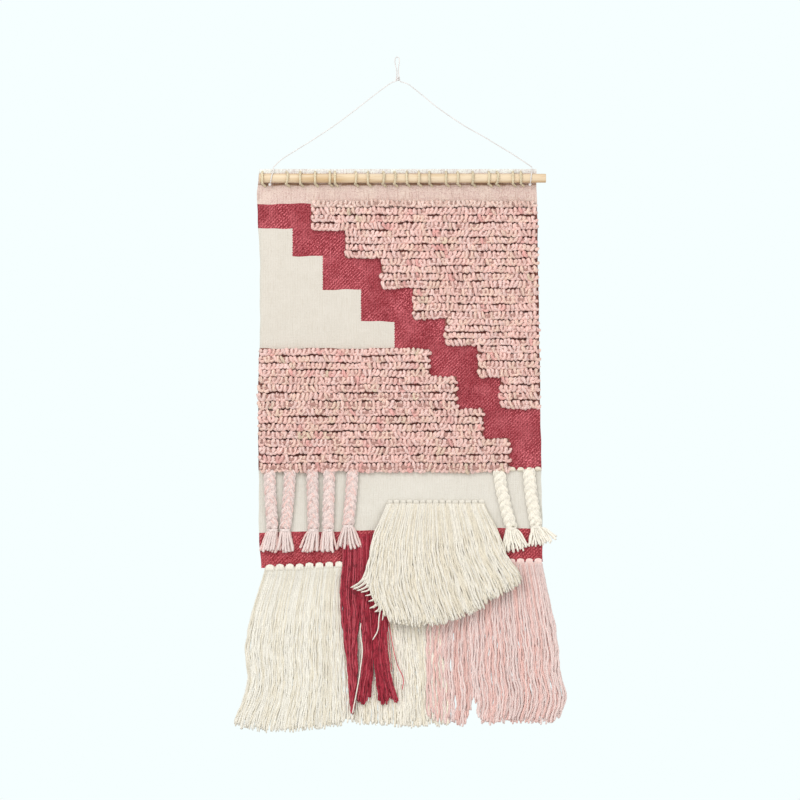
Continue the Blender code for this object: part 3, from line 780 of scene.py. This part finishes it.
def loop_row(batch, random, left, right, z, height, tints, shares):
    """A row of curled loops of one soft yarn, which winds to the right along the cloth."""
    x = np.linspace(left + 0.005, right - 0.005, max(6, round((right - left) / 0.009)))
    centre = z + 0.0007 * np.sin(x * 41 + random.uniform(0, 6))
    path = points_at(x, np.full(len(x), PILE_Y + 0.0016), centre)
    yarn(batch, path, 0.36 * height, tints[0] * CORE_SHADE, lay=0.03, groove=0.94)

    loops = max(3, round((right - left) / LOOP_PITCH))
    steps = 11
    t = np.arange(loops * steps + 1) / steps
    at = np.arange(loops + 2) - 0.5

    def each(low, high):
        return np.interp(t, at, random.uniform(low, high, loops + 2))

    turn = math.tau * t + each(-0.9, 0.9)
    facing = each(-1.7, 1.7)
    radius = each(0.0031, 0.0043)
    reach = each(0.0016, 0.0032)
    tall = each(0.5, 0.67) * height - radius
    tip = each(-0.0022, 0.0022)
    x = left + 0.003 + (right - left - 0.006) * t / loops + each(-0.0012, 0.0012)
    middle = np.interp(x, path[:, 0], centre) + each(-0.0015, 0.0015)
    path = points_at(
        x + reach * np.cos(turn) * np.cos(facing) + tip * np.sin(turn),
        PILE_Y + each(-0.0008, 0.0006) - reach * np.cos(turn) * np.sin(facing) * 0.95,
        middle + tall * np.sin(turn),
    )
    chosen = random.choice(len(tints), loops + 2, p=shares)
    colours = np.array(tints)[chosen] * random.uniform(0.9, 1.06, (loops + 2, 1))
    tint = np.stack([np.interp(t, at, colours[:, c]) for c in range(3)], axis=1)
    yarn(batch, path, radius, tint, lay=0.009, groove=0.8, shade=LOOP_SHADE,
         start=random.uniform(0, 6))


def pile_block(name, random, left, right, top, bottom):
    """Rows of loops side by side. The last row hangs a little over the area under the block."""
    rows = round((top - bottom) / ROW_PITCH)
    overhang = 0.0028 if bottom <= CREAM_PANEL_TOP else 0.001
    pitch = (top - bottom) / rows
    batch = Batch()
    for row in range(rows):
        extra = overhang if row == rows - 1 else 0
        z = top - (row + 0.5) * pitch - extra / 2
        ragged = random.uniform(-0.0036, -0.0006)
        if left is None:
            ends = cloth_left(z) - 0.003 - ragged / 3, right - ragged
        else:
            ends = left + ragged, cloth_right(z) + 0.0015 + ragged / 3
        loop_row(batch, random, *ends, z, pitch + extra, PILE_TINTS, PILE_SHARES)
    batch.build(f"{name}_loops", PINK_YARN, "panel", (name,))


def make_pile():
    random = np.random.default_rng(21)
    top = PILE_TOP
    for number, (riser, end) in enumerate(UPPER_PILE_STEPS, 1):
        pile_block(f"upper_pile_{number}", random, riser, None, top, end)
        top = end
    top = LOWER_PILE_TOP
    for number, (riser, end) in enumerate(LOWER_PILE_STEPS, 1):
        pile_block(f"lower_pile_{number}", random, None, riser, top, end)
        top = end

    batch = Batch()
    first_riser = UPPER_PILE_STEPS[0][0]
    loop_row(batch, random, first_riser + 0.001, cloth_right(HEADER_BOTTOM), HEADER_BOTTOM,
             HEADER_LOOP_HEIGHT, HEADER_LOOP_TINTS, (0.4, 0.35, 0.25))
    batch.build("header_loops", PINK_YARN, "panel")


make_pile()


# -------- knots

def knot(batch, random, x, z, width, height, tint, bar=False):
    """A hitch on the cloth's edge: yarns side by side make a rounded dome, and where there is
    a bar one more lies across them."""
    yarns = 5
    thick = width / yarns / 2 * 1.3
    bulge = height * 0.3
    for k in range(yarns):
        side = (k - (yarns - 1) / 2) / (yarns / 2)
        off = side * (width / 2 - thick * 0.5)
        crown = z + height / 2 * math.sqrt(1 - 0.72 * side * side) - thick
        bend = np.radians(np.linspace(150, 0, 12))
        low = z - height / 2
        path = points_at(
            x + off * np.linspace(0.8, 1.0, 12) + random.uniform(-0.0003, 0.0003),
            CLOTH_FRONT - thick * 0.5 - bulge * np.sin(bend) ** 0.8,
            crown + (low - crown) * (1 - np.cos(np.pi - bend)) / 2,
        )
        yarn(batch, path, thick, tint * random.uniform(0.96, 1.04), lay=0.01, shade=0.9)
    if bar:
        across = np.linspace(-1, 1, 12)
        path = points_at(
            x + across * width * 0.52,
            CLOTH_FRONT - bulge * 1.35 * np.sqrt(np.clip(1 - across**4, 0, 1)) - thick,
            z - height * 0.18 - 0.0008 * across**2,
        )
        yarn(batch, path, thick, tint * 0.97, lay=0.01, shade=0.9)


FAN_HOLE_Z = (-0.803, -0.8052)
KNOT_ROWS = {
    # node: ((x, z) of the first knot, (x, z) of the last, how many, width, height, tint, look)
    "left_knots": ((-0.2284, -0.9168), (-0.104, -0.911), 8, 0.0165, 0.013, CREAM, CREAM_YARN),
    "centre_knots": ((0.003, -0.9085), (0.061, -0.908), 5, 0.014, 0.011, CREAM, CREAM_YARN),
    "pink_knots": ((0.079, -0.906), (0.254, -0.9046), 12, 0.0156, 0.0115, PINK_LIGHT, PINK_YARN),
    "cream_braid_knots": (
        (0.207, -0.7395), (0.2535, -0.7395), 4, 0.012, 0.0085, CREAM_SHADE, CREAM_YARN
    ),
    "fan_knots": (
        (-0.0125, -0.7985), (0.1518, -0.7985), 15, 0.0113, 0.0085, CREAM * 0.88, CREAM_YARN
    ),
}


def knot_xs(name):
    """x of each knot in a row."""
    first, last, count = KNOT_ROWS[name][:3]
    return np.linspace(first[0], last[0], count)


def fan_gap_shadows(batch, xs):
    """Painted shade: small dark yarn bits under the fan's row of knots, halfway between them,
    standing for the shadowed gaps there.
    """
    high, low = FAN_HOLE_Z
    for x in xs[:-1] + (xs[-1] - xs[0]) / (len(xs) - 1) / 2:
        gap_shadow = [(x - 0.0002, CLOTH_FRONT - 0.0046, high), (x, CLOTH_FRONT - 0.0052, low)]
        yarn(batch, gap_shadow, 0.0009, HOLE_SHADE)


def make_knots():
    random = np.random.default_rng(31)
    for name, (first, last, count, width, height, tint, look) in KNOT_ROWS.items():
        batch = Batch()
        for x, z in np.linspace(first, last, count):
            knot(batch, random, x, z + random.uniform(-0.0006, 0.0006), width, height, tint,
                 bar=name == "cream_braid_knots")
        if name == "fan_knots":
            fan_gap_shadows(batch, knot_xs(name))
        batch.build(f"{name}_yarn", look, "panel", (name,))


make_knots()


# -------- plaits and tassels

PLAIT_YARN_RADIUS = 0.00135
PLAIT_YARN_SPACING = 0.002
BINDING_HALF_WIDTH = 0.0084
BINDING_HALF_DEPTH = 0.004
TASSEL_ROOT_WIDTH = 0.0172


def make_braid(name, top_x, end_x, end_z, tassel_x, tassel_end, random):
    pink = name.startswith("pink")
    tints = (PINK_LIGHT, PINK_PALE, PINK_PALE) if pink else (CREAM, CREAM * 1.03, CREAM * 0.97)
    grooves = (0.84, 0.79, 0.78) if pink else 0.94
    loose = PINK_YARN if pink else CREAM_YARN
    plaited = PINK_MARL if pink else CREAM_YARN

    batch = Batch()
    z = np.linspace(BRAID_TOP + 0.004, end_z - 0.002, 56)
    share = np.clip((BRAID_TOP - z) / (BRAID_TOP - end_z), 0, 1)
    centre = top_x + (end_x - top_x) * share**1.4
    phase = random.uniform(0, math.tau)
    spin = math.tau / BRAID_PERIOD
    for ply in range(3):
        t = spin * z + phase + ply * math.tau / 3
        x = centre + (0.006 if pink else 0.0066) * np.sin(t)
        y = BRAID_Y + 0.0018 * np.sin(2 * t)
        sideways = np.stack((np.gradient(z), -np.gradient(x)), axis=1)
        sideways /= np.linalg.norm(sideways, axis=1)[:, None]
        for k in range(5):
            off = (k - 2) * PLAIT_YARN_SPACING
            bowed = y + 0.0005 * abs(k - 2)
            path = points_at(x + sideways[:, 0] * off, bowed, z + sideways[:, 1] * off)
            tint = tints[random.integers(3)] * random.uniform(0.99, 1.12)
            yarn(batch, path, PLAIT_YARN_RADIUS, tint, lay=0.008, shade=grooves,
                 start=random.uniform(0, 6))
    plait = batch.build(f"{name}_plaited", plaited, None, (f"{name}_plait",))
    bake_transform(plait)

    batch = Batch()
    turns = np.linspace(0, math.tau * 3.2, 90)
    path = points_at(
        end_x + BINDING_HALF_WIDTH * np.cos(turns),
        BRAID_Y + BINDING_HALF_DEPTH * np.sin(turns),
        end_z - 0.0012 - (BINDING_HEIGHT - 0.0024) * np.linspace(0, 1, 90),
    )
    yarn(batch, path, 0.0012, tints[1], lay=0.008, shade=0.86)
    batch.build(f"{name}_bound", plaited, name, (f"{name}_binding",))

    batch = Batch()
    strands, thick = (11, 0.0026) if pink else (26, 0.0019)
    top = end_z - BINDING_HEIGHT * 0.6
    reach = top - tassel_end
    bright = (0.92, 1.00) if pink else (0.98, 1.07)
    for k in range(strands):
        u = (k + 0.5) / strands
        layer = k % 2 if pink else (k % 3) / 2
        s = np.linspace(0, 1, 13)
        bottom_x = between(tassel_x, 1.06 * u - 0.03) + random.uniform(-0.002, 0.002)
        start_x = end_x + (u - 0.5) * TASSEL_ROOT_WIDTH
        aside = min(abs(bottom_x - start_x), reach * 0.9)
        low = top - math.sqrt(reach**2 - aside**2) + random.uniform(-0.0015, 0.005)
        curl = random.uniform(0.0006, 0.0012 if pink else 0.0034)
        x = start_x + (bottom_x - start_x) * s ** (1.1 - 18 * aside)
        x = x + curl * np.sin(5 * s + random.uniform(0, 6)) * s
        y = BRAID_Y + 0.0016 - 0.0036 * layer + random.uniform(-0.001, 0.001) * s
        path = points_at(x, y, top + (low - top) * s)
        tint = tints[k % 2] * random.uniform(*bright)
        radius = thick * np.linspace(0.85, 1.1, 13)
        yarn(batch, path, radius, tint, lay=0.012, shade=grooves, start=random.uniform(0, 6))
    batch.build(f"{name}_tasselled", loose, name, (f"{name}_tassel",))


def make_braids():
    random = np.random.default_rng(41)
    for name, sizes in BRAIDS.items():
        make_braid(name, *sizes, random)


make_braids()


# -------- fringes

ROOT_LENGTH = 0.022  # over which a fringe's yarns leave their knots


def edge_at(pairs, down):
    """The x of an edge given as (depth, x) pairs, with its corners rounded off."""
    nearby = np.linspace(-0.018, 0.018, 9)
    return np.interp(down[:, None] + nearby, *zip(*pairs)).mean(axis=1)


def fringe(shape, yarns, gather, depth, tints, shares, seed, lean=0.0):
    """Hanging yarns, as one batch.

    shape: top z, then the left and the right edge as (depth, x) pairs and how long the yarns
    are as (share of the width, length) pairs. yarns: how many, radius, lay, waviness, how far
    they draw together in locks, and the shade between their plies. gather: x of the knots that
    hold them and a knot's width, or None. depth: y at the top, then the front and the back of
    the fall."""
    top, left_edge, right_edge, lengths = shape
    count, radius, lay, waviness, clumping, shade = yarns
    y_top, y_front, y_back = depth
    random = np.random.default_rng(seed)
    batch = Batch()
    spread = (np.arange(count) + 0.5) / count
    spread = np.clip(spread + random.uniform(-0.5, 0.5, count) / count, 0.002, 0.998)
    lock = np.cumsum(random.random(count) < 0.2)
    middles = np.array([spread[lock == k].mean() for k in lock])
    for i, u in enumerate(spread):
        layer = (i * 0.618034) % 1.0
        long = np.interp(u, *zip(*lengths)) + random.uniform(-0.01, 0.004) * (1.3 - layer)
        rings = max(12, round(long / min(0.0045, lay / 3)))
        down = np.linspace(0, long, rings)
        s = down / long
        drawn = u + (middles[i] - u) * clumping * np.minimum(s * 1.6, 1) ** 1.2
        drawn = drawn + random.uniform(-0.5, 0.5) / count * 3.0 * s**1.5
        drawn = np.clip(drawn, 0.0, 1.0)
        left = edge_at(left_edge, down) + radius
        right = edge_at(right_edge, down) - radius
        x = left + (right - left) * drawn
        if gather:
            knots, width = gather
            nearest = knots[np.argmin(np.abs(knots - x[0]))]
            held = nearest + np.clip(x[0] - nearest, -width / 2, width / 2) * 0.9
            x = x + (held - x[0]) * np.clip(1 - down / ROOT_LENGTH, 0, 1) ** 1.5
        swing = waviness * np.clip(s * 2.2, 0, 1) ** 1.3
        x = x + swing * np.sin(math.tau * (s * random.uniform(1.0, 2.6) + random.random()))
        x = x + swing * 0.45 * np.sin(math.tau * (down * random.uniform(22, 40) + random.random()))
        y = y_top + (y_front + (y_back - y_front) * layer - y_top) * np.clip(down / ROOT_LENGTH, 0, 1)
        y = y + 0.0006 * np.sin(math.tau * (down * 26 + random.random())) * np.clip(s * 3, 0, 1)
        y = y - np.tan(lean) * down
        path = points_at(x, y, top - down)
        tint = np.array(tints[random.choice(len(tints), p=shares)]) * random.uniform(0.95, 1.04)
        tint = tint * (wander(random, rings, 0.04) * np.interp(s, (0, 0.35), (0.95, 1)))[:, None]
        thick = radius * random.uniform(0.85, 1.12) * wander(random, rings, 0.06)
        yarn(batch, path, thick, tint, lay=lay, start=random.uniform(0, 6), shade=shade)
    return batch


def stray(batch, route, radius, tint):
    """One yarn that has come away from its fringe, given as (x, y, z) points."""
    yarn(batch, smooth_route(route, 0.004), radius, tint, lay=0.012)


def make_left_fringe():
    edge = ((0, -0.2375), (0.017, -0.2415), (0.04, -0.2495), (0.082, -0.263), (0.125, -0.2725),
            (0.155, -0.2755), (0.195, -0.269), (0.215, -0.271), (0.255, -0.285), (0.28, -0.299))
    inner = ((0, -0.0935), (0.02, -0.0945), (0.05, -0.0975), (0.3, -0.096))
    lengths = ((0, 0.284), (0.06, 0.29), (0.3, 0.296), (0.6, 0.295), (1, 0.286))
    batch = fringe(
        (-0.916, edge, inner, lengths), (215, 0.0018, 0.012, 0.0014, 0.1, 0.99),
        (knot_xs("left_knots"), 0.0168), (-0.0046, -0.0008, 0.0026),
        (CREAM * LEFT_FADE, CREAM_SHADE * LEFT_FADE),
        (0.75, 0.25), 51,
    )
    piece = batch.build("left_fringe_yarn", SOFT_CREAM_YARN, None, ("left_fringe",))
    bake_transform(piece)


def make_lower_fringes():
    edge = ((0, -0.0985), (0.05, -0.099), (0.3, -0.098))
    inner = ((0, 0.072), (0.1, 0.076), (0.2, 0.09), (0.3, 0.096))
    lengths = ((0, 0.28), (0.25, 0.287), (0.6, 0.291), (1, 0.288))
    batch = fringe(
        (-0.913, edge, inner, lengths), (150, 0.0021, 0.014, 0.0015, 0.12, 0.92), None,
        (-0.004, -0.0006, 0.0036), (CREAM, CREAM_SHADE), (0.75, 0.25), 52,
    )
    centre = batch.build("centre_fringe_yarn", CREAM_YARN, None, ("centre_fringe",))

    edge = ((0, 0.07), (0.1, 0.056), (0.18, 0.05), (0.3, 0.056))
    inner = ((0, 0.262), (0.045, 0.2725), (0.09, 0.2805), (0.131, 0.2905), (0.174, 0.297),
             (0.196, 0.2925), (0.217, 0.301), (0.239, 0.307), (0.26, 0.305), (0.285, 0.292))
    lengths = ((0, 0.28), (0.1, 0.286), (0.27, 0.294), (0.31, 0.262), (0.345, 0.245),
               (0.375, 0.278), (0.41, 0.292), (0.6, 0.288), (0.85, 0.289), (0.95, 0.288), (1, 0.274))
    batch = fringe(
        (-0.9085, edge, inner, lengths), (180, 0.0023, 0.0095, 0.0018, 0.12, (0.81, 0.67, 0.66)),
        (knot_xs("pink_knots"), 0.0154), (-0.0046, -0.0022, 0.0036), (PINK_PALE, PINK_LIGHT, PINK),
        (0.62, 0.24, 0.14), 53,
    )
    pink = batch.build("pink_fringe_yarn", PINK_YARN, None, ("pink_fringe",))
    for piece in (centre, pink):
        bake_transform(piece)


def hank_strays(batch):
    """Two thin yarns that curl out to the right of the right hank."""
    stray(batch, [(-0.0165, -0.005, -1.008), (-0.008, -0.0066, -1.056), (0.0005, -0.007, -1.092),
                  (0.0112, -0.007, -1.117), (0.0094, -0.0066, -1.138)], 0.0009, CRIMSON_LIGHT * 1.2)
    stray(batch, [(-0.0185, -0.005, -1.012), (-0.0125, -0.0066, -1.07),
                  (-0.009, -0.0066, -1.106)], 0.0008, CRIMSON_LIGHT)


HANKS = {
    # node: left edge, right edge, lengths, how many yarns
    "crimson_fringe_left": (
        ((0, -0.0985), (0.055, -0.099), (0.095, -0.1035), (0.165, -0.0995), (0.23, -0.0915),
         (0.275, -0.086), (0.32, -0.0835)),
        ((0, -0.064), (0.145, -0.065), (0.175, -0.068), (0.205, -0.0715), (0.24, -0.0695),
         (0.28, -0.0735), (0.32, -0.0785)),
        ((0, 0.304), (0.5, 0.322), (1, 0.309)), 42,
    ),
    "crimson_fringe_middle": (
        ((0, -0.068), (0.15, -0.0665), (0.18, -0.0625), (0.21, -0.061), (0.25, -0.068),
         (0.3, -0.0735)),
        ((0, -0.04), (0.2, -0.041), (0.24, -0.043), (0.3, -0.048)),
        ((0, 0.298), (0.5, 0.305), (1, 0.294)), 40,
    ),
    "crimson_fringe_right": (
        ((0, -0.045), (0.19, -0.045), (0.24, -0.043), (0.27, -0.038), (0.3, -0.0365)),
        ((0, -0.007), (0.14, -0.015), (0.19, -0.0175), (0.234, -0.014), (0.268, -0.008),
         (0.295, 0.005)),
        ((0, 0.3), (0.4, 0.306), (0.6, 0.296), (1, 0.3)), 48,
    ),
}
HANK_TOP = -0.858


def make_crimson_fringe():
    for seed, (node, (edge, inner, lengths, count)) in enumerate(HANKS.items(), 54):
        batch = fringe(
            (HANK_TOP, edge, inner, lengths), (count, 0.0017, 0.0075, 0.0014, 0.25, 0.72), None,
            (-0.0012, -0.008, -0.0034), (CRIMSON, CRIMSON_LIGHT, CRIMSON_DARK),
            (0.56, 0.22, 0.22), seed,
        )
        if node == "crimson_fringe_right":
            hank_strays(batch)
        piece = batch.build(f"{node}_yarn", CRIMSON_YARN, None, (node,))
        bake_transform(piece)


def make_loose_yarn():
    """A cream yarn from the fringe behind that lies over the left hank and moves with it."""
    batch = Batch()
    stray(batch, [(-0.065, -0.009, -1.018), (-0.0662, -0.0112, -1.036), (-0.0622, -0.0114, -1.066),
                  (-0.066, -0.0114, -1.1), (-0.0692, -0.0114, -1.123),
                  (-0.0801, -0.0112, -1.18)], 0.0012, CREAM)
    batch.build("loose_yarn", CREAM_YARN, "crimson_fringe")


def fan_strays(batch):
    """Yarns that splay out of the fan's left edge, and two loose ones under that corner."""
    tips = ((-0.0832, -0.9536), (-0.079, -0.9562), (-0.0722, -0.959), (-0.0648, -0.9616),
            (-0.057, -0.968), (-0.0512, -0.978), (-0.049, -0.9905), (-0.04, -0.997))
    for k, (x, z) in enumerate(tips):
        root = np.array((-0.054 + 0.003 * k, -0.016, -0.918 - 0.008 * k))
        tip = np.array((x, -0.0215, z))
        middle = (root + tip) / 2 + (0.004, -0.0015, -0.005)
        for shift in (0.0, 0.0034, 0.0066):
            aside = (shift, 0.3 * shift, 0.4 * shift)
            stray(batch, [root + aside, middle + aside, tip + (shift, shift, 0.0)], 0.0013, CREAM)
    for route in (
        [(-0.027, -0.02, -0.98), (-0.032, -0.0235, -1.005), (-0.0345, -0.014, -1.03),
         (-0.044, -0.011, -1.048)],
        [(-0.023, -0.02, -0.985), (-0.026, -0.0225, -1.012)],
    ):
        stray(batch, route, 0.0012, CREAM)


def make_fan():
    edge = ((0, -0.018), (0.043, -0.038), (0.073, -0.0475), (0.124, -0.0575), (0.149, -0.062),
            (0.171, -0.056), (0.215, -0.042))
    inner = ((0, 0.156), (0.042, 0.179), (0.062, 0.187), (0.089, 0.195), (0.105, 0.206),
             (0.131, 0.226), (0.215, 0.264))
    lengths = ((0, 0.135), (0.02, 0.149), (0.06, 0.183), (0.09, 0.21), (0.15, 0.217),
               (0.24, 0.22), (0.38, 0.217), (0.52, 0.205), (0.67, 0.189), (0.72, 0.177),
               (0.85, 0.16), (0.955, 0.146), (1, 0.133))
    batch = fringe(
        (-0.802, edge, inner, lengths), (380, 0.0018, 0.0095, 0.0015, 0.05, 0.88),
        (knot_xs("fan_knots"), 0.0108), (-0.0052, -0.0094, -0.0042), (CREAM, CREAM_SHADE),
        (0.6, 0.4), 58,
        FAN_LEAN,
    )
    fan_strays(batch)
    piece = batch.build("fan_fringe_yarn", CREAM_YARN, None, ("fan_fringe",))
    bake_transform(piece)


make_left_fringe()
make_lower_fringes()
make_crimson_fringe()
make_loose_yarn()
make_fan()
